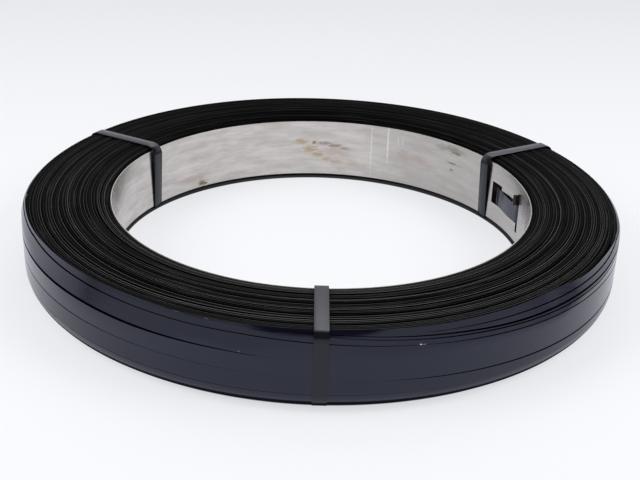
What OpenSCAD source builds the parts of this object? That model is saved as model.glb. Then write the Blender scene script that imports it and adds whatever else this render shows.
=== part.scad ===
// Steel strapping coil: black strap wound to and fro on a thin steel core ring,
// held by three narrow steel ties. It lies flat, with its axis along +Z.
// The origin is on the floor, on the axis, and the front tie faces -Y.
// Angles run from the front tie towards +X.

/* [Core ring] */
// Inside diameter of the core ring
core_bore = 406; // [300:1:460]
// Width of the core ring's band
core_w = 63.5; // [55:0.5:65]
// How far the core's top edge lies below the winding's top face
core_inset = 3.9; // [1:0.1:4.5]
// Thickness of the core ring's band
core_t = 0.9; // [0.7:0.1:1.5]

/* [Strap winding] */
// Outside diameter of the wound strap
coil_od = 573; // [520:1:700]
// Width of the winding, which is its height as it lies
coil_w = 69.4; // [68.8:0.2:90]
// Width of the strap
strap_w = 19; // [16:0.5:22]
// Thickness of the strap
strap_t = 0.6; // [0.5:0.05:1]
// Radius over which the outer turns lean in at the top rim
rim_top_r = 9; // [4:1:24]
// Radius over which the outer turns lean in at the foot
rim_foot_r = 16; // [8:1:24]
// Radial distance between two groups of turns on the end faces
turn_pitch = 3.2; // [2.4:0.1:6]
// Depth of the valleys between the groups of turns
valley_depth = 1.6; // [0.5:0.1:3]
// Radial distance over which the inner turns step down to the core's top edge
bevel_w = 8; // [4:0.5:16]

/* [Strap anchor] */
// Angle of the window that the strap's inner end comes through
window_angle = 113.3; // [60:0.1:115]
// Height of the window, along the coil's axis
window_h = 24; // [23:0.5:40]
// Width of the window, around the ring
window_w = 18; // [14:0.5:24]
// Distance around the ring from the window to the locking slot, in degrees
slot_offset = 14.4; // [12:0.1:25]
// Height of the locking slot
slot_h = 42; // [24:0.5:50]
// Width of the locking slot, around the ring
slot_w = 5; // [4:0.5:8]
// Height of the lip that is bent in beside the locking slot
lip_h = 11; // [6:0.5:12]
// How far the lip stands in from the core's wall
lip_reach = 5; // [2:0.5:7]

/* [Ties] */
// Width of a tie
tie_w = 12; // [8:0.5:19]
// Thickness of a tie
tie_t = 0.6; // [0.4:0.1:1]
// Angles at which the ties pass round the winding
tie_angles = [0, 119.5, 240.5];
// Radius of a tie's bend over the top edge of the core, which is also how far it stands off there
tie_bend_r = 7; // [3:0.5:14]
// Radius of a tie's bend under the bottom edge of the winding's bore
tie_heel_r = 2.5; // [2:0.5:6]
// Length of the lap where a tie's two ends are joined underneath
tie_lap = 32; // [20:1:50]

/* [Hidden] */
$fn = 180;

// Clearances: winding to core, tie to the round outer face, strap end to the core's wall
winding_fit = 0.1;
tie_fit = 0.2;
tail_fit = 0.3;
// How far a cut runs past what it cuts
cut_past = 1;
// How far the strap's end clears the window's lower edge
tail_lift = 0.3;
// How far the lip starts above the strap's end
lip_fit = 1;

core_r = core_bore / 2;
bore_r = core_r + core_t + winding_fit;
outer_r = coil_od / 2;
// The ties' laps rest on the floor, the ties lie on them, and the winding lies on the ties.
winding_z = 2 * tie_t;
top_z = winding_z + coil_w;
core_top_z = top_z - core_inset;
mid_z = core_top_z - core_w / 2;
tail_z = mid_z - window_h / 2 + tail_lift;
slot_angle = window_angle - slot_offset;

strap_black = [0.09, 0.09, 0.1];
tie_grey = [0.3, 0.3, 0.32];
bare_steel = [0.68, 0.67, 0.65];

// Points on an arc about [x, y] from angle a to angle b.
function arc(x, y, r, a, b, steps = 8) =
    [for (i = [0:steps]) let (t = a + (b - a) * i / steps) [x + r * cos(t), y + r * sin(t)]];

// A smooth step from 0 to 1.
function ease(u) = (1 - cos(180 * max(0, min(1, u)))) / 2;

// The groups of turns show on the end faces, out to where each rim begins.
top_out = outer_r - rim_top_r;
foot_out = outer_r - rim_foot_r;
ridge_share = 0.62;

// No two groups reach quite the same height, because the strap was traversed by hand-set guides.
function group_drop(i) = valley_depth * 0.22 * (1 + sin(i * 137.5));
function valley_drop(i) = valley_depth * (0.8 + 0.2 * sin(i * 83 + 40));

// One end face as steps from the bore out to radius out: [radius, drop below the face].
// Its inner turns step down by inner_drop to the bore.
function face_steps(out, seed, inner_drop) =
    let (count = floor((out - bore_r) / turn_pitch), pitch = (out - bore_r) / count)
    [for (i = [0:count - 1])
        let (r = bore_r + i * pitch,
             bevel = inner_drop * max(0, 1 - i * pitch / bevel_w),
             crest = bevel + (i == 0 || i == count - 1 ? 0 : group_drop(i + seed)),
             edge = r + pitch * ridge_share,
             valley = crest + valley_drop(i + seed))
        for (p = [[r, crest], [edge, crest], [edge, valley], [r + pitch, valley]])
            p];

function backwards(points) = [for (i = [len(points) - 1:-1:0]) points[i]];

// The outer turns lie side by side, each a strap's width, and each steps in or out by half its thickness.
function outer_steps() =
    let (low = winding_z + rim_foot_r, high = top_z - rim_top_r,
         count = max(1, round((high - low) / strap_w)), turn = (high - low) / count)
    [for (i = [0:count - 1])
        let (r = outer_r - strap_t / 2 * (i % 2))
        for (p = [[r, low + i * turn], [r, low + (i + 1) * turn]])
            p];

module winding_section() {
    polygon(concat(
        [for (s = face_steps(foot_out, 5, 0)) [s[0], winding_z + s[1]]],
        arc(foot_out, winding_z + rim_foot_r, rim_foot_r, -90, 0, 5),
        outer_steps(),
        arc(top_out, top_z - rim_top_r, rim_top_r, 0, 90, 6),
        backwards([for (s = face_steps(top_out, 0, core_inset)) [s[0], top_z - s[1]]])
    ));
}

// The strap's inner end comes in through the window, runs along the core's wall
// in a shallow bow, and goes back out through the locking slot.
tail_start = window_angle + 1.5;
tail_end = slot_angle - 0.4;
under_r = bore_r + strap_t;
over_r = core_r - tail_fit - strap_t / 2;
tail_bow = 1.6;
through_window = 0.27;
through_slot = 0.9;

function tail_r(u) =
    let (into = ease(u / through_window),
         out = ease((u - through_slot) / (1 - through_slot)),
         bow = sin(180 * max(0, min(1, (u - through_window) / (through_slot - through_window)))))
    under_r + (over_r - under_r) * into * (1 - out) - tail_bow * bow;

module strap_tail() {
    steps = 48;
    path = [for (i = [0:steps]) let (u = i / steps) [tail_r(u), tail_start + (tail_end - tail_start) * u]];
    function side(o) = [for (p = path) [(p[0] + o) * sin(p[1]), -(p[0] + o) * cos(p[1])]];
    translate([0, 0, tail_z])
        linear_extrude(strap_w)
            polygon(concat(side(-strap_t / 2), backwards(side(strap_t / 2))));
}

module strap_winding() {
    color(strap_black) {
        rotate_extrude() winding_section();
        strap_tail();
    }
}

// A rectangular opening through the core's wall, w around the ring and h along its axis.
module wall_opening(angle, w, h) {
    rotate([0, 0, angle])
        translate([-w / 2, -core_r - core_t - cut_past, mid_z - h / 2])
            cube([w, core_t + 3 * cut_past, h]);
}

// A lip that is cut free at the locking slot's edge and bent in, over the strap's end.
module slot_lip() {
    rotate([0, 0, slot_angle])
        translate([slot_w / 2, -core_r - core_t / 2, tail_z + strap_w + lip_fit])
            cube([core_t, core_t / 2 + lip_reach, lip_h]);
}

module core_ring() {
    color(bare_steel)
        difference() {
            translate([0, 0, core_top_z - core_w])
                cylinder(h = core_w, r = core_r + core_t);
            translate([0, 0, core_top_z - core_w - cut_past])
                cylinder(h = core_w + 2 * cut_past, r = core_r);
            wall_opening(window_angle, window_w, window_h);
            wall_opening(slot_angle, slot_w, slot_h);
        }
    color(bare_steel)
        slot_lip();
}

// A tie's outline at distance o outside the line that it is seated on.
// The run inside the core leans, as a tangent to its two bends.
function tie_outline(o) =
    let (top_bend = [core_r, top_z - tie_bend_r],
         heel = [bore_r, winding_z + tie_heel_r],
         run = heel - top_bend,
         lean = atan2(run[1], run[0]) - acos((tie_bend_r - tie_heel_r) / norm(run)) + 360)
    concat(
        arc(foot_out + tie_fit, winding_z + rim_foot_r, rim_foot_r + o, -90, 0),
        arc(top_out + tie_fit, top_z - rim_top_r, rim_top_r + o, 0, 90),
        arc(top_bend[0], top_bend[1], tie_bend_r + o, 90, lean),
        arc(heel[0], heel[1], tie_heel_r + o, lean, 270, 6)
    );

module tie(angle) {
    lap_middle = (core_r + outer_r) / 2;
    color(tie_grey)
        rotate([0, 0, angle - 90])
            translate([0, tie_w / 2, 0])
                rotate([90, 0, 0])
                    linear_extrude(tie_w) {
                        difference() {
                            polygon(tie_outline(tie_t));
                            polygon(tie_outline(0));
                        }
                        translate([lap_middle - tie_lap / 2, 0])
                            square([tie_lap, tie_t]);
                    }
}

core_ring();
strap_winding();
tie(tie_angles[0]);  // tie_front
tie(tie_angles[1]);  // tie_back_right
tie(tie_angles[2]);  // tie_back_left
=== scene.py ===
"""Looks of the steel strapping coil: the wound black strap, its bare steel core ring and its three ties."""
import bisect
import math
import random

import bpy
from mathutils import Matrix, Vector


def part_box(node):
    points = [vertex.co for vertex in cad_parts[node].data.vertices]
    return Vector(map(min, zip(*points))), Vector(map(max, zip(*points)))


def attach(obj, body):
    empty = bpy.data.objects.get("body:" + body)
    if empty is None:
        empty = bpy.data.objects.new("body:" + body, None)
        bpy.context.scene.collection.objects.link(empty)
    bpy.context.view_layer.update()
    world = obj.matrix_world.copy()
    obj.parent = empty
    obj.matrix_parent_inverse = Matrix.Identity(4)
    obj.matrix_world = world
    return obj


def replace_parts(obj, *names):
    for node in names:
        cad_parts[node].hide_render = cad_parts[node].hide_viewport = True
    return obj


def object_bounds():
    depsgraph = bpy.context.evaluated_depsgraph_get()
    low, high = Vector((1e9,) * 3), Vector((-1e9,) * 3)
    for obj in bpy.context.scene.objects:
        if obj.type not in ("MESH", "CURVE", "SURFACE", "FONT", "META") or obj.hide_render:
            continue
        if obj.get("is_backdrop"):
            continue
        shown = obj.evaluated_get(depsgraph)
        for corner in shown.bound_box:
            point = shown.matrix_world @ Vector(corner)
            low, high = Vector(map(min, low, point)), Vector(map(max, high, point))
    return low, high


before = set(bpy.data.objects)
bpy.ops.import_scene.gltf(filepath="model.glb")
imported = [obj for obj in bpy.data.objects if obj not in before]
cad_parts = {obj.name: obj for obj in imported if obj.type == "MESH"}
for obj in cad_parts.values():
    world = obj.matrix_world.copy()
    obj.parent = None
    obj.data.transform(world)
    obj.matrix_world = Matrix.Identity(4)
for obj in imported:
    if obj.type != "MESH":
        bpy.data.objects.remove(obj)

cad_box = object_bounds()

# Angles run from the front tie towards +X, in degrees. Lengths are in metres.
MM = 0.001
FULL_TURN = 2 * math.pi

# Places that the frame gives
WINDING_LOW, WINDING_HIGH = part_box("strap_winding")
CORE_LOW, CORE_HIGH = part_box("core_ring")
OUTER_R = WINDING_HIGH.y
WINDING_TOP = WINDING_HIGH.z
WINDING_FOOT = WINDING_LOW.z
CORE_TOP = CORE_HIGH.z
CORE_T = 0.9 * MM
CORE_R = CORE_HIGH.y - CORE_T
BORE_R = CORE_HIGH.y + 0.1 * MM

# The strap, and the rims of the winding where its outer turns lean in
STRAP_T = 0.6 * MM
STRAP_W = 19 * MM
TOP_RIM = 9 * MM
FOOT_RIM = 16 * MM
BEVEL_W = 8 * MM

# The photograph's camera, as it stands before the coil
FRAME_PX = 640
SENSOR_MM = 36
LENS_PX = 1132.8
CAMERA_BACK = 1.024
CAMERA_UP = 0.501
CAMERA_PITCH = 0.4442
CAMERA_ROLL = 0.0343
CAMERA_ANGLE = -0.75


def deselect():
    """Nothing stays selected or in edit mode, so that an operator acts on the new piece alone."""
    if bpy.context.object and bpy.context.object.mode != "OBJECT":
        bpy.ops.object.mode_set(mode="OBJECT")
    bpy.ops.object.select_all(action="DESELECT")


def look_through_camera():
    bpy.ops.object.camera_add()
    camera = bpy.context.object
    camera.name = "camera"
    camera.data.sensor_width = SENSOR_MM
    camera.data.lens = LENS_PX / FRAME_PX * SENSOR_MM
    camera.matrix_world = (
        Matrix.Rotation(math.radians(CAMERA_ANGLE), 4, "Z")
        @ Matrix.Translation((0, -CAMERA_BACK, CAMERA_UP))
        @ Matrix.Rotation(math.pi / 2 - CAMERA_PITCH, 4, "X")
        @ Matrix.Rotation(CAMERA_ROLL, 4, "Z")
    )
    bpy.context.scene.camera = camera
    bpy.context.scene.view_settings.view_transform = "Standard"


def smooth_through(points):
    """A smooth closed curve through (angle, value) points, as a function of the angle in degrees."""
    angles = [p[0] for p in points]
    values = [p[1] for p in points]
    count = len(points)

    def angle_at(i):
        return angles[i % count] + 360 * (i // count)

    def slope(i):
        rise = values[(i + 1) % count] - values[(i - 1) % count]
        return rise / (angle_at(i + 1) - angle_at(i - 1))

    def curve(angle):
        turned = (angle - angles[0]) % 360 + angles[0]
        i = bisect.bisect_right(angles, turned) - 1
        span = angle_at(i + 1) - angle_at(i)
        u = (turned - angle_at(i)) / span
        start, end = values[i], values[(i + 1) % count]
        return (
            start * (2 * u**3 - 3 * u**2 + 1)
            + end * (3 * u**2 - 2 * u**3)
            + slope(i) * span * (u**3 - 2 * u**2 + u)
            + slope(i + 1) * span * (u**3 - u**2)
        )

    return curve


def turned_piece(name, outline, steps):
    """Draws a closed section by extruding one point from corner to corner, and spins it about the axis."""
    deselect()
    first = outline[0]
    bpy.ops.mesh.primitive_plane_add(size=STRAP_T, location=(0, -first[0], first[1]))
    piece = bpy.context.object
    piece.name = name
    bpy.ops.object.transform_apply(location=True)
    bpy.ops.object.mode_set(mode="EDIT")
    bpy.ops.mesh.select_all(action="SELECT")
    bpy.ops.mesh.merge(type="CENTER")
    for here, there in zip(outline, outline[1:] + [first]):
        step = (0, here[0] - there[0], there[1] - here[1])
        bpy.ops.mesh.extrude_vertices_move(TRANSFORM_OT_translate={"value": step})
    bpy.ops.mesh.select_all(action="SELECT")
    bpy.ops.mesh.remove_doubles(threshold=0.01 * MM)
    bpy.ops.mesh.select_all(action="SELECT")
    bpy.ops.mesh.spin(steps=steps, angle=FULL_TURN, center=(0, 0, 0), axis=(0, 0, 1), use_auto_merge=True)
    bpy.ops.mesh.select_all(action="SELECT")
    bpy.ops.mesh.remove_doubles(threshold=0.01 * MM)
    bpy.ops.mesh.normals_make_consistent(inside=False)
    bpy.ops.object.mode_set(mode="OBJECT")
    return piece


def polar_of(point):
    """A point's distance from the axis, and its angle in degrees from the front towards +X."""
    return math.hypot(point.x, point.y), math.degrees(math.atan2(point.x, -point.y))


def polar_point(radius, angle, height):
    turn = math.radians(angle)
    return Vector((radius * math.sin(turn), -radius * math.cos(turn), height))


class WoundFace:
    """One end face of the winding: bundles of turns from the bore out, each with its own height and sway."""

    def __init__(self, out_r, seed, inner_drop):
        rng = random.Random(seed)
        self.out_r = out_r
        self.ridges = []
        self.edge_highlights = []
        radius = BORE_R
        swell = 0.0
        while radius < out_r - 3.2 * MM:
            swell = 0.6 * swell + rng.uniform(-0.6, 0.6) * MM
            bundle_waves = [
                (rng.uniform(0.1, 0.5) * MM / count, count, rng.uniform(0, 360)) for count in (1, 2, 3)
            ]
            count = rng.choice((1, 2, 2, 3, 3))
            for i in range(count):
                width = rng.choice((2, 2, 3)) * STRAP_T + rng.uniform(0.1, 0.3) * MM
                last = i == count - 1
                groove = rng.uniform(0.6, 1.1) * MM if last else rng.uniform(0.2, 0.32) * MM
                depth = rng.uniform(2.0, 3.4) * MM if last else rng.uniform(0.7, 1.5) * MM
                bevel = inner_drop * max(0.0, 1 - (radius - BORE_R) / BEVEL_W)
                crest = bevel + max(0.0, 0.6 * MM + swell + rng.uniform(-0.35, 0.35) * MM)
                crest = max(crest, rim_drop(radius + width))
                own_wave = (rng.uniform(0.02, 0.12) * MM, rng.choice((2, 3, 5)), rng.uniform(0, 360))
                self.ridges.append((radius, width, groove, crest, crest + depth, bundle_waves + [own_wave]))
                # Each ridge gets a painted highlight on its inner edge, brightest on the first ridge of a bundle
                self.edge_highlights.append(rng.uniform(0.8, 1.0) if i == 0 else rng.uniform(0.5, 0.9))
                radius += width + groove
        self.starts = [ridge[0] for ridge in self.ridges]

    def outline(self):
        """(radius, drop) corners from the bore out. A groove lies at each ridge's outer side."""
        corners = []
        for start, width, groove, crest, valley, _ in self.ridges:
            corners += [
                (start + 0.02 * MM, crest + EDGE_ROUND * 0.8),
                (start + 0.02 * MM + EDGE_ROUND, crest),
                (start + width - EDGE_ROUND, crest),
                (start + width, crest + EDGE_ROUND * 0.8),
                (start + width + 0.02 * MM, valley),
                (start + width + groove, valley),
            ]
        return corners

    def shine(self, radius, angle):
        """How bright the painted highlight on a ridge's inner edge is: less at the back, where it faces the camera."""
        i = max(0, bisect.bisect_right(self.starts, radius + 0.01 * MM) - 1)
        on_edge = radius - self.starts[i] < EDGE_ROUND + 0.05 * MM
        facing = 0.45 + 0.3 * (1 + math.cos(math.radians(angle)))
        return self.edge_highlights[i] * facing if on_edge else 0.0

    def sway(self, radius, angle):
        """How far outwards and how far down the turns at this radius have moved at this angle."""
        i = max(0, bisect.bisect_right(self.starts, radius) - 1)
        drop = sum(
            size * (1 - math.cos(math.radians(count * angle + phase))) for size, count, phase in self.ridges[i][5]
        )
        hold = max(0.0, min(1.0, (self.out_r - radius) / (4 * MM), (radius - BORE_R) / (4 * MM)))
        turn = math.radians(angle)
        shift = 0.8 * math.sin(turn + radius / (8 * MM)) + 0.35 * math.sin(3 * turn - radius / (4 * MM))
        return hold * shift * MM, hold * drop


def rim_drop(radius):
    """How far the turns stay below the face so that they lie under the outer straps that lean over them."""
    under = radius - (OUTER_R - TOP_RIM)
    if under < -12 * MM:
        return 0.0
    lean = TOP_RIM - math.sqrt(max(0.0, TOP_RIM**2 - max(0.0, under) ** 2))
    return 0.5 * MM + lean


# How far inside the coil's outer face the turns end that show on the top face
RIM_GAP = 1.2 * MM


def wind_turns(material, section):
    """The body of the winding with the turns that show on both end faces. They stay behind the outer straps."""
    first_r = {}
    top = WoundFace(OUTER_R - RIM_GAP, 11, WINDING_TOP - CORE_TOP)
    foot = WoundFace(OUTER_R - FOOT_RIM, 23, 0.0)
    hidden_wall = OUTER_R - TOP_RIM - 1 * MM
    outline = [(radius, WINDING_TOP - drop) for radius, drop in top.outline()]
    outline += [(OUTER_R - RIM_GAP, WINDING_TOP - 8 * MM), (hidden_wall, WINDING_TOP - 20 * MM)]
    outline += [(OUTER_R - FOOT_RIM, WINDING_FOOT + 6 * MM)]
    outline += [(radius, WINDING_FOOT + drop) for radius, drop in reversed(foot.outline())]
    piece = turned_piece("wound_turns", outline, TURN_STEPS)
    shine = piece.data.attributes.new("edge_shine", "FLOAT", "POINT")
    for vertex in piece.data.vertices:
        radius, angle = polar_of(vertex.co)
        height = vertex.co.z
        if height > WINDING_TOP - 18 * MM:
            shine.data[vertex.index].value = top.shine(radius, angle)
            outwards, drop = top.sway(radius, angle)
            key = round(angle * 100)
            if key not in first_r:
                first_r[key] = section.rows(angle - CAMERA_ANGLE)[0][0] - 0.3 * MM
            vertex.co = polar_point(min(radius + outwards, first_r[key]), angle, height - drop)
        elif height < WINDING_FOOT + 4.5 * MM:
            outwards, drop = foot.sway(radius, angle)
            vertex.co = polar_point(radius + outwards, angle, height + drop)
    finish(piece, material, 40)
    return piece


EDGE_ROUND = 0.2 * MM
TURN_STEPS = 160
SKIN_STEPS = 240


def finish(piece, material, smooth_angle):
    deselect()
    piece.select_set(True)
    bpy.context.view_layer.objects.active = piece
    bpy.ops.object.shade_smooth_by_angle(angle=math.radians(smooth_angle))
    dress(piece, material)
    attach(piece, "root")


# The outer straps: their edges run along the section of the round face. A place on the section is told
# by its distance from the top face's rim, in millimetres: round the top rim, down the wall and round the foot.
RIM_LENGTH = TOP_RIM * math.pi / 2
WALL_LENGTH = WINDING_TOP - WINDING_FOOT - TOP_RIM - FOOT_RIM
FOOT_LENGTH = FOOT_RIM * math.pi / 2


def on_section(along, sunk):
    """(radius, height) on the outer section, sunk below it along its normal."""
    if along < 0:
        return OUTER_R - TOP_RIM + along, WINDING_TOP - sunk
    if along < RIM_LENGTH:
        turn = along / TOP_RIM
        reach = TOP_RIM - sunk
        return OUTER_R - TOP_RIM + reach * math.sin(turn), WINDING_TOP - TOP_RIM + reach * math.cos(turn)
    if along < RIM_LENGTH + WALL_LENGTH:
        return OUTER_R - sunk, WINDING_TOP - TOP_RIM - (along - RIM_LENGTH)
    turn = (along - RIM_LENGTH - WALL_LENGTH) / FOOT_RIM
    reach = FOOT_RIM - sunk
    return OUTER_R - FOOT_RIM + reach * math.cos(turn), WINDING_FOOT + FOOT_RIM - reach * math.sin(turn)


# Where the top face ends and the outermost strap begins, as the radius at which its edge shows on the top plane
RIM_EDGE = [
    (-100, 285.5), (-88, 285), (-76, 282), (-66, 280.5), (-59, 279), (-48, 277.5), (-36, 277), (-28, 277.5), (-19, 279.6),
    (-9, 278), (4, 277.7), (18, 279.3), (33, 278.5), (41, 277.3), (46, 277.4), (52, 280.9), (62, 281.6),
    (70, 283), (79, 285), (90, 285.5), (120, 285.5), (180, 285.5), (240, 285.5),
]

# Each seam between two outer straps: (angle, place on the section) and (angle, width, depth), in millimetres
SEAMS = {
    "upper": (
        [(-75, 0.9), (-20, 1.3), (0, 3.0), (18, 7.2), (40, 8.2), (57, 8.6), (75, 7), (180, 4), (250, 2)],
        [(-60, 0.1, 0), (16, 0.1, 0), (28, 0.6, 0.6), (60, 1.0, 1.0), (90, 0.8, 0.8), (130, 0.1, 0), (250, 0.1, 0)],
    ),
    "open_top": (
        [(-75, 2.2), (-20, 2.5), (-3, 3.9), (4, 6), (12, 8.4), (23, 11.1), (37, 14.4), (55, 15.2), (80, 14.3),
         (180, 8), (250, 3.2)],
        [(-40, 0.1, 0), (-20, 0.2, 0.2), (-6, 0.4, 0.5), (10, 0.5, 0.6), (25, 1.1, 1.0), (40, 1.8, 1.6), (75, 1.8, 1.6),
         (120, 0.6, 0.7), (180, 0.6, 0.7), (250, 0.1, 0)],
    ),
    "open_foot": (
        [(-75, 2.9), (-20, 3.3), (-3, 5.4), (4, 8.2), (13, 11.2), (26, 14.6), (43, 18.5), (60, 19.8), (80, 18),
         (180, 10), (250, 4.2)],
        [(-40, 0.1, 0), (-12, 0.1, 0), (4, 0.3, 0.4), (14, 0.5, 0.7), (30, 1.0, 1.1), (75, 1.0, 1.1), (120, 0.1, 0),
         (250, 0.1, 0)],
    ),
    "slant": (
        [(-75, 4.2), (-60, 5.0), (-43, 6.6), (-21, 9.0), (-12, 9.8), (0, 12.4), (16, 17.0), (30, 20.6), (43, 23.7),
         (60, 26.5), (75, 30), (140, 26), (220, 10)],
        [(-75, 1.0, 1.4), (-45, 1.0, 1.4), (-30, 0.6, 0.8), (0, 0.6, 0.7), (10, 0.5, 0.5), (18, 0.3, 0.2),
         (30, 0.8, 1.0), (75, 1.0, 1.3), (140, 0.7, 0.9), (220, 0.7, 0.9)],
    ),
    "thick": (
        [(-75, 25.5), (-60, 24.3), (-43, 23.9), (-30, 24.9), (-16, 25.8), (-10, 27), (0, 28.5), (30, 31), (60, 34),
         (80, 36), (140, 34), (220, 29)],
        [(-75, 2.0, 3.2), (-55, 2.3, 3.4), (-35, 1.9, 2.8), (-18, 0.9, 1.2), (-9, 0.3, 0.2), (0, 0.15, 0),
         (60, 0.15, 0), (120, 0.2, 0.2), (160, 0.9, 1.3), (230, 1.4, 2.0)],
    ),
    "low": (
        [(-75, 43), (-58, 42.2), (-26, 42), (-7, 43.6), (8, 46), (22, 48.2), (43, 51.7), (60, 53.6), (80, 53.5),
         (140, 49), (220, 45)],
        [(-75, 0.7, 0.8), (-50, 0.8, 1.0), (-30, 0.3, 0.3), (8, 0.2, 0.1), (24, 0.7, 0.6), (45, 1.2, 1.2),
         (75, 1.1, 1.1), (140, 0.6, 0.7), (220, 0.5, 0.6)],
    ),
    "foot_turn": (
        [(-75, 58), (0, 58.5), (75, 60), (180, 58)],
        [(-75, 0.15, 0), (-35, 0.3, 0.2), (0, 0.3, 0.2), (40, 0.15, 0), (180, 0.4, 0.4)],
    ),
}


# The seams are read at their black core, and are somewhat wider between the straps' rounded edges
SEAM_WIDENING = 1.25

# How far in the upper straps lean per height, up to the top face
LEAN = 0.42

# The rows of a strap in the section and of the seam below it, and the depth from which a seam is black
ROWS_A_STRAP = 6
SEAM_ROWS = (2, 3, 4)
FULL_SHADE = 0.5 * MM

class OuterSection:
    """The outer straps' section at any angle, as rows from the top rim to the foot."""

    def __init__(self):
        self.seams = []
        for place, gap in SEAMS.values():
            middle = smooth_through(place)
            width = smooth_through([(angle, w) for angle, w, _ in gap])
            depth = smooth_through([(angle, d) for angle, _, d in gap])
            self.seams.append((middle, width, depth))
        self.rim_edge = smooth_through(RIM_EDGE)
        self.leaning = smooth_through([
            (-82, 0), (-68, 0.9), (-60, 1), (-14, 1), (-4, 0.55), (4, 0.55), (14, 1), (60, 1), (68, 0.9), (82, 0),
            (140, 0), (220, 0),
        ])

    def first_place(self, angle):
        """The place on the section where the top face ends."""
        past = self.rim_edge(angle) * MM - (OUTER_R - TOP_RIM)
        return (TOP_RIM * math.asin(past / TOP_RIM) if past > 0 else past) / MM

    def bands(self, angle):
        """Where each strap begins and ends on the section, and how deep the seam below it is."""
        last = self.first_place(angle)
        for middle, width, depth in self.seams:
            half = max(0.1, width(angle) * SEAM_WIDENING) / 2
            centre = max(middle(angle), last + half + 0.3)
            yield last, centre - half, max(0.0, depth(angle)) * MM
            last = centre + half
        yield last, (RIM_LENGTH + WALL_LENGTH + FOOT_LENGTH) / MM, 0.0

    def rows(self, angle):
        """(radius, height) of every row at this angle of the photograph's camera. The upper straps are slid in
        along the camera's view to a cone, so they lean in and every seam stays where the photograph shows it."""
        share = max(0.0, min(1.0, self.leaning(angle)))
        nearer = max(0.15, CAMERA_BACK * math.cos(math.radians(angle)) - OUTER_R)
        rise = (CAMERA_UP - WINDING_TOP) / nearer
        first_r, first_z = on_section(self.first_place(angle) * MM, 0.0)

        def leant(place):
            radius, height = on_section(place * MM, 0.0)
            below = first_z - height + (radius - first_r) * rise
            cone_r = first_r + LEAN * below / (1 + rise * LEAN)
            move = share * min(0.0, cone_r - radius)
            return radius + move, height + move * rise

        bands = list(self.bands(angle))
        rows = [leant(bands[0][0])]
        for (start, end, sunk), (below_start, _, _) in zip(bands, bands[1:]):
            rows += [leant(start + (end - start) * part) for part in (0.3, 0.7, 1.0)]
            foot_r, foot_z = rows[-1]
            below = leant(below_start)
            rows.append((foot_r - sunk, foot_z - 0.15 * sunk))
            rows.append((foot_r - sunk, max(foot_z - 0.3 * sunk, below[1])))
            rows.append(below)
        last, end, _ = bands[-1]
        rows += [leant(last + (end - last) * share_down / 8) for share_down in range(1, 9)]
        return rows


def lay_outer_turns(material, section):
    """The outermost straps round the coil, as one shell whose seams are grooves of changing width."""
    count = len(section.rows(0))
    spacing = 1 * MM
    inner_r = OUTER_R - FOOT_RIM - 2 * MM
    outline = [(inner_r, 0.0)] + [(OUTER_R, -i * spacing) for i in range(count)]
    outline += [(inner_r, -(count - 1) * spacing)]
    piece = turned_piece("outer_turns", outline, SKIN_STEPS)
    shade = piece.data.attributes.new("seam_shade", "FLOAT", "FACE")
    for face in piece.data.polygons:
        radius, angle = polar_of(face.center)
        strap, row = divmod(int(-face.center.z / spacing) - 1, ROWS_A_STRAP)
        bands = list(section.bands(angle - CAMERA_ANGLE))
        if row in SEAM_ROWS and strap < len(bands) - 1 and radius > OUTER_R - 1 * MM:
            shade.data[face.index].value = min(1.0, bands[strap][2] / FULL_SHADE)
    rows_by_angle = {}
    for vertex in piece.data.vertices:
        radius, angle = polar_of(vertex.co)
        row = round(-vertex.co.z / spacing)
        key = round(angle * 100)
        if key not in rows_by_angle:
            rows_by_angle[key] = section.rows(angle - CAMERA_ANGLE)
        section_r, height = rows_by_angle[key][row]
        if radius < OUTER_R - 1 * MM:
            section_r = section_r - 2 * MM if row == 0 else inner_r
            height = WINDING_TOP - 3.5 * MM if row == 0 else WINDING_FOOT + 1.5 * MM
        vertex.co = polar_point(section_r, angle, height)
    finish(piece, material, 26)
    return piece


# The strap's inner end, from the window along the core's wall to the locking slot
TAIL_START = 114.8
TAIL_END = 98.5
TAIL_FOOT = 23.3 * MM
TAIL_BOW = 1.6 * MM
TAIL_STEPS = 48


def ease(u):
    return (1 - math.cos(math.pi * max(0.0, min(1.0, u)))) / 2


def tail_radius(u):
    under = BORE_R + STRAP_T
    over = CORE_R - 0.3 * MM - STRAP_T / 2
    inward = ease(u / 0.27)
    outward = ease((u - 0.9) / 0.1)
    bow = math.sin(math.pi * max(0.0, min(1.0, (u - 0.27) / 0.63)))
    return under + (over - under) * inward * (1 - outward) - TAIL_BOW * bow


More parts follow.
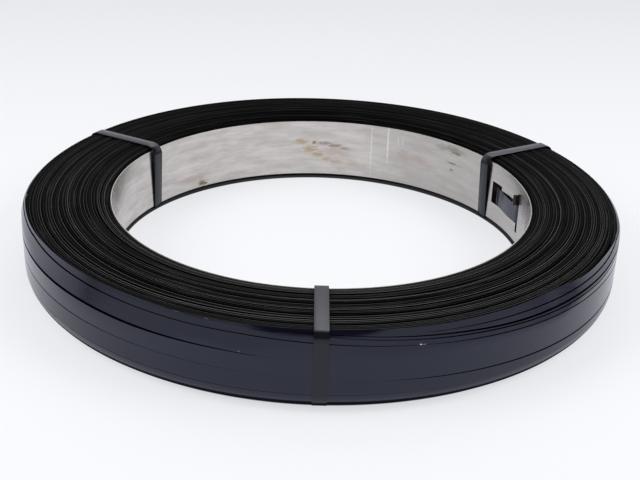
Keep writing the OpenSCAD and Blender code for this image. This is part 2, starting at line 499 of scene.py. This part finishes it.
def lay_tail(material):
    """A strap's end: a strip, extruded step by step along its route and given the strap's thickness."""
    deselect()
    bpy.ops.mesh.primitive_plane_add(size=STRAP_W, location=(0, 0, 0), rotation=(0, math.pi / 2, 0))
    piece = bpy.context.object
    piece.name = "strap_end"
    bpy.ops.object.transform_apply(location=True, rotation=True)
    bpy.ops.object.mode_set(mode="EDIT")
    bpy.ops.mesh.select_mode(type="VERT")
    bpy.ops.mesh.select_all(action="DESELECT")
    bpy.ops.object.mode_set(mode="OBJECT")
    for vertex in piece.data.vertices:
        vertex.select = vertex.co.y < 0
    bpy.ops.object.mode_set(mode="EDIT")
    bpy.ops.mesh.delete(type="VERT")
    bpy.ops.mesh.select_all(action="SELECT")
    for _ in range(TAIL_STEPS):
        bpy.ops.mesh.extrude_region_move(TRANSFORM_OT_translate={"value": (0, 1 * MM, 0)})
    bpy.ops.object.mode_set(mode="OBJECT")
    start = min(vertex.co.y for vertex in piece.data.vertices)
    for vertex in piece.data.vertices:
        u = (vertex.co.y - start) / (TAIL_STEPS * MM)
        angle = TAIL_START + (TAIL_END - TAIL_START) * u
        height = TAIL_FOOT + STRAP_W / 2 + vertex.co.z
        vertex.co = polar_point(tail_radius(u), angle, height)
    thicken = piece.modifiers.new("thickness", "SOLIDIFY")
    thicken.thickness = STRAP_T
    thicken.offset = 0
    bpy.context.view_layer.objects.active = piece
    bpy.ops.object.modifier_apply(modifier=thicken.name)
    finish(piece, material, 40)
    return piece


def lay_tie(name, angle, material):
    """A tie: its line round the winding is drawn point by point, then given the band's width and thickness."""
    line = tie_line()
    deselect()
    bpy.ops.mesh.primitive_plane_add(size=TIE_T, location=(0, -line[0][0], line[0][1]))
    piece = bpy.context.object
    piece.name = name
    bpy.ops.object.transform_apply(location=True)
    bpy.ops.object.mode_set(mode="EDIT")
    bpy.ops.mesh.select_all(action="SELECT")
    bpy.ops.mesh.merge(type="CENTER")
    for here, there in zip(line, line[1:] + line[:1]):
        step = (0, here[0] - there[0], there[1] - here[1])
        bpy.ops.mesh.extrude_vertices_move(TRANSFORM_OT_translate={"value": step})
    bpy.ops.mesh.select_all(action="SELECT")
    bpy.ops.mesh.remove_doubles(threshold=0.01 * MM)
    bpy.ops.mesh.select_all(action="SELECT")
    bpy.ops.transform.translate(value=(-TIE_W / 2, 0, 0))
    bpy.ops.mesh.extrude_region_move(TRANSFORM_OT_translate={"value": (TIE_W, 0, 0)})
    bpy.ops.mesh.select_all(action="SELECT")
    bpy.ops.mesh.normals_make_consistent(inside=False)
    bpy.ops.object.mode_set(mode="OBJECT")
    thicken = piece.modifiers.new("thickness", "SOLIDIFY")
    thicken.thickness = TIE_T
    thicken.offset = 0
    rounded = piece.modifiers.new("edges", "BEVEL")
    rounded.width = 0.22 * MM
    rounded.segments = 2
    rounded.limit_method = "ANGLE"
    rounded.angle_limit = math.radians(60)
    for modifier in (thicken.name, rounded.name):
        bpy.ops.object.modifier_apply(modifier=modifier)
    lap_r = (CORE_R + OUTER_R) / 2
    bpy.ops.mesh.primitive_cube_add(size=1, location=(0, -lap_r, TIE_T / 2), scale=(TIE_W, TIE_LAP, TIE_T))
    lap = bpy.context.object
    bpy.ops.object.transform_apply(location=True, scale=True)
    piece.select_set(True)
    bpy.context.view_layer.objects.active = piece
    bpy.ops.object.join()
    bpy.ops.transform.rotate(value=-math.radians(angle), orient_axis="Z", center_override=(0, 0, 0))
    bpy.ops.object.transform_apply(location=True, rotation=True)
    finish(piece, material, 35)
    return piece


def arc_line(centre_r, centre_z, reach, start, end, steps):
    """Points on an arc in the section plane, from one angle in degrees to another."""
    turns = [math.radians(start + (end - start) * i / steps) for i in range(steps + 1)]
    return [(centre_r + reach * math.cos(turn), centre_z + reach * math.sin(turn)) for turn in turns]


def tie_line():
    """The middle line of a tie's band, in (radius, height), once round the winding."""
    half = TIE_T / 2
    out_r = OUTER_R + TIE_FIT
    heel_z = WINDING_FOOT + TIE_HEEL
    bend_r = CORE_R + TIE_BEND - TIE_STAND_OFF
    bend_z = WINDING_TOP - TIE_BEND
    run_r = BORE_R - bend_r
    run_z = heel_z - bend_z
    length = math.hypot(run_r, run_z)
    lean = math.degrees(math.atan2(run_z, run_r) - math.acos((TIE_BEND - TIE_HEEL) / length)) + 360
    points = arc_line(out_r - FOOT_RIM, WINDING_FOOT + FOOT_RIM, FOOT_RIM + half, -90, 0, 10)
    points += arc_line(out_r - TOP_RIM, WINDING_TOP - TOP_RIM, TOP_RIM + half, 0, 90, 10)
    points += arc_line(bend_r, bend_z, TIE_BEND + half, 90, lean, 12)
    points += arc_line(BORE_R, heel_z, TIE_HEEL + half, lean, 270, 6)
    return points


TIE_T = 0.6 * MM
TIE_W = 12 * MM
TIE_FIT = 0.2 * MM
TIE_BEND = 9.5 * MM
TIE_STAND_OFF = 3.2 * MM
TIE_HEEL = 1.6 * MM
TIE_LAP = 32 * MM


class Graph:
    """A material's or a group's nodes, with short calls for the nodes that are used most."""

    def __init__(self, tree):
        self.tree = tree

    def node(self, kind, **values):
        made = self.tree.nodes.new(kind)
        for key, value in values.items():
            setattr(made, key, value)
        return made

    def put(self, socket, value):
        """Sets an input to a constant, or links it to an output."""
        if isinstance(value, bpy.types.NodeSocket):
            self.tree.links.new(value, socket)
        else:
            socket.default_value = value

    def math(self, operation, *values, clamp=False):
        made = self.node("ShaderNodeMath", operation=operation, use_clamp=clamp)
        for socket, value in zip(made.inputs, values):
            self.put(socket, value)
        return made.outputs[0]

    def span(self, value, low, high, to_low=0.0, to_high=1.0):
        """Maps a value's span onto another, clamped and smooth."""
        made = self.node("ShaderNodeMapRange", interpolation_type="SMOOTHSTEP")
        for key, part in (
            ("Value", value), ("From Min", low), ("From Max", high), ("To Min", to_low), ("To Max", to_high)
        ):
            self.put(made.inputs[key], part)
        return made.outputs["Result"]

    def vector(self, x, y, z):
        made = self.node("ShaderNodeCombineXYZ")
        for socket, value in zip(made.inputs, (x, y, z)):
            self.put(socket, value)
        return made.outputs[0]

    def noise(self, where, scale, detail=2.0, roughness=0.5):
        made = self.node("ShaderNodeTexNoise")
        self.put(made.inputs["Vector"], where)
        self.put(made.inputs["Scale"], scale)
        self.put(made.inputs["Detail"], detail)
        self.put(made.inputs["Roughness"], roughness)
        return made.outputs["Fac"]

    def mix(self, share, first, second):
        """Mixes two colours."""
        made = self.node("ShaderNodeMix", data_type="RGBA")
        for socket, value in zip((made.inputs[0], made.inputs[6], made.inputs[7]), (share, first, second)):
            self.put(socket, value)
        return made.outputs[2]

    def group(self, tree, **values):
        made = self.node("ShaderNodeGroup", node_tree=tree)
        for key, value in values.items():
            self.put(made.inputs[key.replace("_", " ")], value)
        return made.outputs

    def bump(self, height, strength, distance):
        made = self.node("ShaderNodeBump")
        self.put(made.inputs["Height"], height)
        self.put(made.inputs["Strength"], strength)
        self.put(made.inputs["Distance"], distance)
        return made.outputs["Normal"]


def new_group(name, inputs, outputs):
    """An empty node group with its sockets: its graph, the group input's outputs and the output's inputs."""
    tree = bpy.data.node_groups.new(name, "ShaderNodeTree")
    for socket, kind in inputs.items():
        tree.interface.new_socket(socket, in_out="INPUT", socket_type=kind)
    for socket, kind in outputs.items():
        tree.interface.new_socket(socket, in_out="OUTPUT", socket_type=kind)
    graph = Graph(tree)
    return graph, graph.node("NodeGroupInput").outputs, graph.node("NodeGroupOutput").inputs


FLOAT = "NodeSocketFloat"
VECTOR = "NodeSocketVector"


def make_turned_coordinates():
    """Places on a turned piece: degrees from the back towards +X, radius and height in mm, and a place
    to draw streaks with, which run round the axis."""
    graph, _, outputs = new_group(
        "turned_coordinates", {}, {"Back Angle": FLOAT, "Radius": FLOAT, "Height": FLOAT, "Streaks": VECTOR}
    )
    place = graph.node("ShaderNodeTexCoord").outputs["Object"]
    parts = graph.node("ShaderNodeSeparateXYZ")
    graph.put(parts.inputs[0], place)
    x, y, z = parts.outputs
    angle = graph.math("DEGREES", graph.math("ARCTAN2", x, y))
    flat = graph.vector(x, y, 0.0)
    length = graph.node("ShaderNodeVectorMath", operation="LENGTH")
    graph.put(length.inputs[0], flat)
    radius = graph.math("MULTIPLY", length.outputs["Value"], 1000.0)
    height = graph.math("MULTIPLY", z, 1000.0)
    across = graph.math("ADD", radius, height)
    streaks = graph.vector(graph.math("MULTIPLY", x, 12.0), graph.math("MULTIPLY", y, 12.0), across)
    graph.put(outputs["Back Angle"], angle)
    graph.put(outputs["Radius"], radius)
    graph.put(outputs["Height"], height)
    graph.put(outputs["Streaks"], streaks)
    return graph.tree


def make_mark():
    """A mark on the core's wall: an oval about a place, with its edge broken up by noise."""
    graph, given, outputs = new_group(
        "wall_mark",
        {"Back Angle": FLOAT, "Height": FLOAT, "Unrest": FLOAT, "Angle": FLOAT, "Rise": FLOAT,
         "Half Width": FLOAT, "Half Height": FLOAT, "Strength": FLOAT},
        {"Mask": FLOAT},
    )
    along = graph.math("DIVIDE", graph.math("SUBTRACT", given["Back Angle"], given["Angle"]), given["Half Width"])
    up = graph.math("DIVIDE", graph.math("SUBTRACT", given["Height"], given["Rise"]), given["Half Height"])
    away = graph.math("SQRT", graph.math("ADD", graph.math("POWER", along, 2.0), graph.math("POWER", up, 2.0)))
    uneven = graph.math("ADD", away, graph.math("MULTIPLY", graph.math("SUBTRACT", given["Unrest"], 0.5), 3.2))
    mask = graph.span(uneven, 1.25, 0.3)
    graph.put(outputs["Mask"], graph.math("MULTIPLY", mask, given["Strength"]))
    return graph.tree


def new_material(name, slot):
    material = bpy.data.materials.new(name)
    material["slot"] = slot
    material.use_nodes = True
    material.node_tree.nodes.clear()
    graph = Graph(material.node_tree)
    shader = graph.node("ShaderNodeBsdfPrincipled")
    graph.put(graph.node("ShaderNodeOutputMaterial").inputs["Surface"], shader.outputs["BSDF"])
    return material, graph, shader.inputs


# Light chips on the outer straps: degrees from the back towards +X, height, half width, half height, strength
CHIPS = [
    (164.4, 57.9, 0.2, 0.5, 1.0), (163.9, 57.7, 0.5, 0.25, 0.35),
    (-167.3, 50.6, 0.25, 0.3, 0.25), (-161.5, 70.2, 0.4, 0.3, 0.15), (-156.0, 70.4, 0.6, 0.25, 0.1),
]


def strap_face_material(places, mark):
    """The flat of the strap: blue-black, smooth enough to mirror the floor, with faint lengthwise streaks."""
    material, graph, shader = new_material("black_strap_face", "black_strap")
    turned = graph.group(places)
    streaks = graph.noise(turned["Streaks"], 0.9, 3.0)
    cloud = graph.noise(turned["Streaks"], 0.12, 2.0)
    colour = graph.mix(cloud, (0.0025, 0.0027, 0.0085, 1), (0.0055, 0.006, 0.0155, 1))
    chipped = 0.0
    for angle, rise, half_width, half_height, strength in CHIPS:
        one = graph.group(
            mark, Back_Angle=turned["Back Angle"], Height=turned["Height"], Unrest=0.5, Angle=angle,
            Rise=rise, Half_Width=half_width, Half_Height=half_height, Strength=strength,
        )["Mask"]
        chipped = graph.math("MAXIMUM", chipped, one)
    seam = graph.node("ShaderNodeAttribute", attribute_name="seam_shade").outputs["Fac"]
    painted = graph.mix(chipped, colour, (0.75, 0.75, 0.75, 1))
    graph.put(shader["Base Color"], graph.mix(seam, painted, (0.0005, 0.0005, 0.0006, 1)))
    graph.put(shader["IOR"], graph.span(seam, 0.0, 1.0, 1.5, 1.02))
    graph.put(shader["Specular Tint"], (0.78, 0.82, 1.0, 1))
    graph.put(shader["Roughness"], graph.span(streaks, 0.25, 0.75, 0.15, 0.24))
    graph.put(shader["Normal"], graph.bump(streaks, 0.12, 0.02 * MM))
    return material


def strap_edge_material(places):
    """The edges of the turns on the end faces: black and duller than the flat, with fine lighter lines: painted
    highlights along the ridges' inner edges, in patches, and faint scratches.
    """
    material, graph, shader = new_material("black_strap_edge", "black_strap")
    turned = graph.group(places)
    # Painted highlight: the ridges' inner edges are painted lighter where they would catch the light
    edge_highlight = graph.node("ShaderNodeAttribute", attribute_name="edge_shine").outputs["Fac"]
    patches = graph.span(graph.noise(turned["Streaks"], 0.16, 3.0), 0.3, 0.65, 0.3, 1.0)
    painted_highlight = graph.math("MULTIPLY", graph.math("POWER", edge_highlight, 4.0), patches)
    scratches = graph.span(graph.noise(turned["Streaks"], 1.1, 2.0), 0.6, 0.72, 0.0, 0.1)
    shown = graph.math("MAXIMUM", painted_highlight, scratches)
    graph.put(shader["Base Color"], graph.mix(shown, (0.001, 0.001, 0.0012, 1), (0.27, 0.27, 0.275, 1)))
    graph.put(shader["IOR"], 1.04)
    graph.put(shader["Roughness"], 0.4)
    return material


# Marks on the core's wall: degrees from the back towards +X, height, half width in degrees, half height, strength
TAN_MARKS = [
    (-6.2, 42.5, 2.2, 4.0, 0.75), (-3.6, 33.5, 2.4, 4.5, 0.85), (-0.8, 27.0, 2.4, 3.6, 0.8),
    (1.9, 21.5, 1.8, 2.6, 0.6), (5.2, 19.0, 2.2, 3.2, 0.5), (10.6, 18.5, 2.4, 3.4, 0.4), (6.4, 10.5, 2.0, 2.6, 0.4),
]
BROWN_MARKS = [
    (-40.6, 7.2, 1.9, 3.8, 1.0), (-2.1, 41.5, 0.9, 2.2, 0.9), (1.2, 40.8, 2.6, 2.4, 0.7), (4.8, 38.0, 2.6, 2.4, 0.7),
    (7.6, 35.5, 1.8, 2.0, 0.5), (45.8, 44.0, 3.2, 0.9, 0.9), (45.4, 36.2, 0.8, 1.6, 0.8), (47.0, 57.2, 1.3, 2.0, 0.9),
]
PINK_MARKS = [
    (-44.8, 16.0, 6.5, 4.5, 0.6), (-57.0, 22.5, 6.0, 2.4, 0.3), (-44.4, 38.0, 3.0, 5.0, 0.3),
    (33.0, 37.0, 3.4, 5.0, 0.6), (27.6, 38.0, 2.6, 7.0, 0.5), (37.3, 30.5, 2.6, 4.0, 0.45), (4.0, 30.0, 5.0, 8.0, 0.5),
]
GREEN_MARKS = [(45.6, 60.0, 4.6, 4.4, 0.8), (41.5, 58.8, 3.0, 3.2, 0.5)]
LIGHT_MARKS = [
    (22.0, 48.0, 0.3, 26.0, 0.8), (16.5, 40.0, 0.3, 34.0, 0.5), (25.5, 52.0, 0.2, 6.0, 0.5), (27.0, 54.0, 0.2, 5.0, 0.5),
]


def core_material(places, mark):
    """Bare steel that was brushed along its length, darker on the right, with the stains and thin light lines that the
    photograph shows, and painted shade on the lip beside the slot.
    """
    material, graph, shader = new_material("bare_core_steel", "core_steel")
    turned = graph.group(places)
    streaks = graph.noise(turned["Streaks"], 0.9, 4.0, 0.6)
    spread = graph.vector(turned["Back Angle"], graph.math("MULTIPLY", turned["Height"], 1.2), 0.0)
    cloud = graph.noise(spread, 0.09, 4.0, 0.6)
    colour = graph.mix(graph.span(cloud, 0.3, 0.7), (0.46, 0.43, 0.385, 1), (0.60, 0.568, 0.53, 1))
    # The wall's colour is darker on the right, rising from 8 to 34 degrees from the back
    darker_right_side = graph.span(turned["Back Angle"], 8.0, 34.0, 0.0, 0.55)
    colour = graph.mix(darker_right_side, colour, (0.34, 0.325, 0.30, 1))
    colour = graph.mix(graph.span(streaks, 0.35, 0.75, 0.0, 0.22), colour, (0.38, 0.355, 0.325, 1))
    unrest = graph.noise(spread, 0.45, 5.0, 0.7)
    stained = 0.0
    for marks, paint in (
        (PINK_MARKS, (0.45, 0.37, 0.32, 1)),
        (GREEN_MARKS, (0.30, 0.29, 0.24, 1)),
        (TAN_MARKS, (0.42, 0.34, 0.19, 1)),
        (BROWN_MARKS, (0.25, 0.185, 0.12, 1)),
        (LIGHT_MARKS, (0.80, 0.79, 0.77, 1)),
    ):
        mask = 0.0
        for angle, rise, half_width, half_height, strength in marks:
            one = graph.group(
                mark, Back_Angle=turned["Back Angle"], Height=turned["Height"], Unrest=unrest, Angle=angle,
                Rise=rise, Half_Width=half_width, Half_Height=half_height, Strength=strength,
            )["Mask"]
            mask = graph.math("MAXIMUM", mask, one)
        colour = graph.mix(mask, colour, paint)
        stained = graph.math("MAXIMUM", stained, mask)
    # Painted shade: steel that stands in from the wall, the lip beside the slot, is painted near black from 0.3 to 1.2
    # mm in from it
    shaded_lip = graph.span(turned["Radius"], CORE_R / MM - 1.2, CORE_R / MM - 0.3, 0.85, 0.0)
    graph.put(shader["Base Color"], graph.mix(shaded_lip, colour, (0.03, 0.03, 0.033, 1)))
    graph.put(shader["Metallic"], 1.0)
    graph.put(shader["Roughness"], graph.math("ADD", 0.24, graph.math("MULTIPLY", stained, 0.2)))
    return material


def tie_material():
    material, graph, shader = new_material("tie_steel", "tie_steel")
    place = graph.node("ShaderNodeTexCoord").outputs["Object"]
    cloud = graph.noise(place, 60.0, 3.0)
    graph.put(shader["Base Color"], graph.mix(cloud, (0.004, 0.004, 0.006, 1), (0.009, 0.009, 0.011, 1)))
    graph.put(shader["Specular Tint"], (0.86, 0.88, 1.0, 1))
    graph.put(shader["Roughness"], graph.span(cloud, 0.3, 0.7, 0.20, 0.27))
    graph.put(shader["Specular IOR Level"], 0.42)
    return material


def dress(piece, material):
    piece.data.materials.clear()
    piece.data.materials.append(material)


def lay_floor():
    """A pale table that glows a little from below, so that the coil's shadow on it is faint. Under the winding and at
    the foot of the core it is painted dark and its glow is cut, as painted contact shadow.
    """
    deselect()
    bpy.ops.mesh.primitive_plane_add(size=14, location=(0, 0, 0))
    floor = bpy.context.object
    floor.name = "floor"
    material, graph, shader = new_material("studio_floor", "floor")
    parts = graph.node("ShaderNodeSeparateXYZ")
    place = graph.node("ShaderNodeTexCoord").outputs["Object"]
    graph.put(parts.inputs[0], place)
    shown = graph.mix(graph.span(parts.outputs[1], -0.2, 1.6), (0.91, 0.92, 0.95, 1), (0.67, 0.68, 0.72, 1))
    mirrored = graph.mix(graph.span(parts.outputs[1], -0.25, 0.0), (0.87, 0.89, 0.97, 1), (1.02, 1.04, 1.16, 1))
    glossy = graph.node("ShaderNodeLightPath").outputs["Is Glossy Ray"]
    glow = graph.mix(glossy, shown, mirrored)
    length = graph.node("ShaderNodeVectorMath", operation="LENGTH")
    graph.put(length.inputs[0], place)
    away = length.outputs["Value"]
    # Painted contact shadow: dark floor without glow from just inside the core out under the winding, reaching further
    # into the bore at the back, and, as the strap mirrors it, out to the coil's foot
    reach = graph.span(parts.outputs[1], 0.05, 0.2, 0.0, 3.4 * MM)
    outside = graph.math("SUBTRACT", away, graph.math("MULTIPLY", glossy, 12 * MM))
    painted_contact_shade = graph.math(
        "MULTIPLY", graph.span(outside, OUTER_R - 13 * MM, OUTER_R - 11.5 * MM, 1.0, 0.0),
        graph.span(graph.math("ADD", away, reach), CORE_R - 2.6 * MM, CORE_R - 1.6 * MM),
    )
    graph.put(shader["Base Color"], graph.mix(painted_contact_shade, (0.30, 0.30, 0.305, 1), (0.06, 0.06, 0.064, 1)))
    graph.put(shader["Roughness"], 0.8)
    graph.put(shader["Specular IOR Level"], 0.1)
    graph.put(shader["Emission Color"], glow)
    graph.put(shader["Emission Strength"], graph.math("SUBTRACT", 0.7, graph.math("MULTIPLY", painted_contact_shade, 0.7)))
    dress(floor, material)
    floor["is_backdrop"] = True


def light_studio():
    """White all round but for the dark above the camera, as the strap mirrors it, with soft lamps at the sides."""
    world = bpy.data.worlds.new("studio")
    bpy.context.scene.world = world
    world.use_nodes = True
    world.node_tree.nodes.clear()
    graph = Graph(world.node_tree)
    paths = graph.node("ShaderNodeLightPath").outputs
    parts = graph.node("ShaderNodeSeparateXYZ")
    graph.put(parts.inputs[0], graph.node("ShaderNodeTexCoord").outputs["Generated"])
    to_back = graph.math("MULTIPLY", parts.outputs[1], -1.0)
    turn = graph.math("DEGREES", graph.math("ARCTAN2", parts.outputs[2], to_back))
    above_camera = graph.math("MULTIPLY", graph.span(turn, 26.0, 42.0), graph.span(turn, 100.0, 130.0, 1.0, 0.0))
    sky = graph.mix(above_camera, (0.84, 0.85, 0.88, 1), (0.03, 0.03, 0.034, 1))
    plain = graph.node("ShaderNodeBackground")
    graph.put(plain.inputs["Color"], (1, 1, 1, 1))
    graph.put(plain.inputs["Strength"], 0.5)
    mirrored = graph.node("ShaderNodeBackground")
    graph.put(mirrored.inputs["Color"], sky)
    seen = graph.node("ShaderNodeBackground")
    graph.put(seen.inputs["Color"], (0.88, 0.89, 0.92, 1))
    first = graph.node("ShaderNodeMixShader")
    graph.put(first.inputs[0], paths["Is Glossy Ray"])
    graph.put(first.inputs[1], plain.outputs[0])
    graph.put(first.inputs[2], mirrored.outputs[0])
    second = graph.node("ShaderNodeMixShader")
    graph.put(second.inputs[0], graph.math("MAXIMUM", paths["Is Camera Ray"], paths["Is Transmission Ray"]))
    graph.put(second.inputs[1], first.outputs[0])
    graph.put(second.inputs[2], seen.outputs[0])
    graph.put(graph.node("ShaderNodeOutputWorld").inputs["Surface"], second.outputs[0])
    for name, place, size, power in (
        ("softbox_left", (-1.7, -0.5, 1.5), 1.2, 22),
        ("softbox_right", (1.7, -0.3, 1.5), 1.2, 20),
        ("softbox_back", (0.2, 1.6, 1.9), 1.4, 9),
    ):
        deselect()
        bpy.ops.object.light_add(type="AREA", location=place)
        lamp = bpy.context.object
        lamp.name = name
        lamp.data.size = size
        lamp.visible_glossy = name == "softbox_back"
        lamp.data.energy = power
        lamp.rotation_euler = (-Vector(place)).to_track_quat("-Z", "Y").to_euler()


look_through_camera()
light_studio()
lay_floor()

turned_places = make_turned_coordinates()
wall_mark = make_mark()
strap_face = strap_face_material(turned_places, wall_mark)
strap_edge = strap_edge_material(turned_places)
bare = core_material(turned_places, wall_mark)
grey = tie_material()
outer = OuterSection()
for part in (wind_turns(strap_edge, outer), lay_outer_turns(strap_face, outer), lay_tail(strap_face)):
    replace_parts(part, "strap_winding")
dress(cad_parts["core_ring"], bare)
for tie, tie_angle in (("tie_front", 0), ("tie_back_right", 119.8), ("tie_back_left", 240.1)):
    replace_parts(lay_tie("dressed_" + tie, tie_angle, grey), tie)

boxes = {"cad": cad_box, "visual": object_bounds()}
{name: [list(corner) for corner in box] for name, box in boxes.items()}
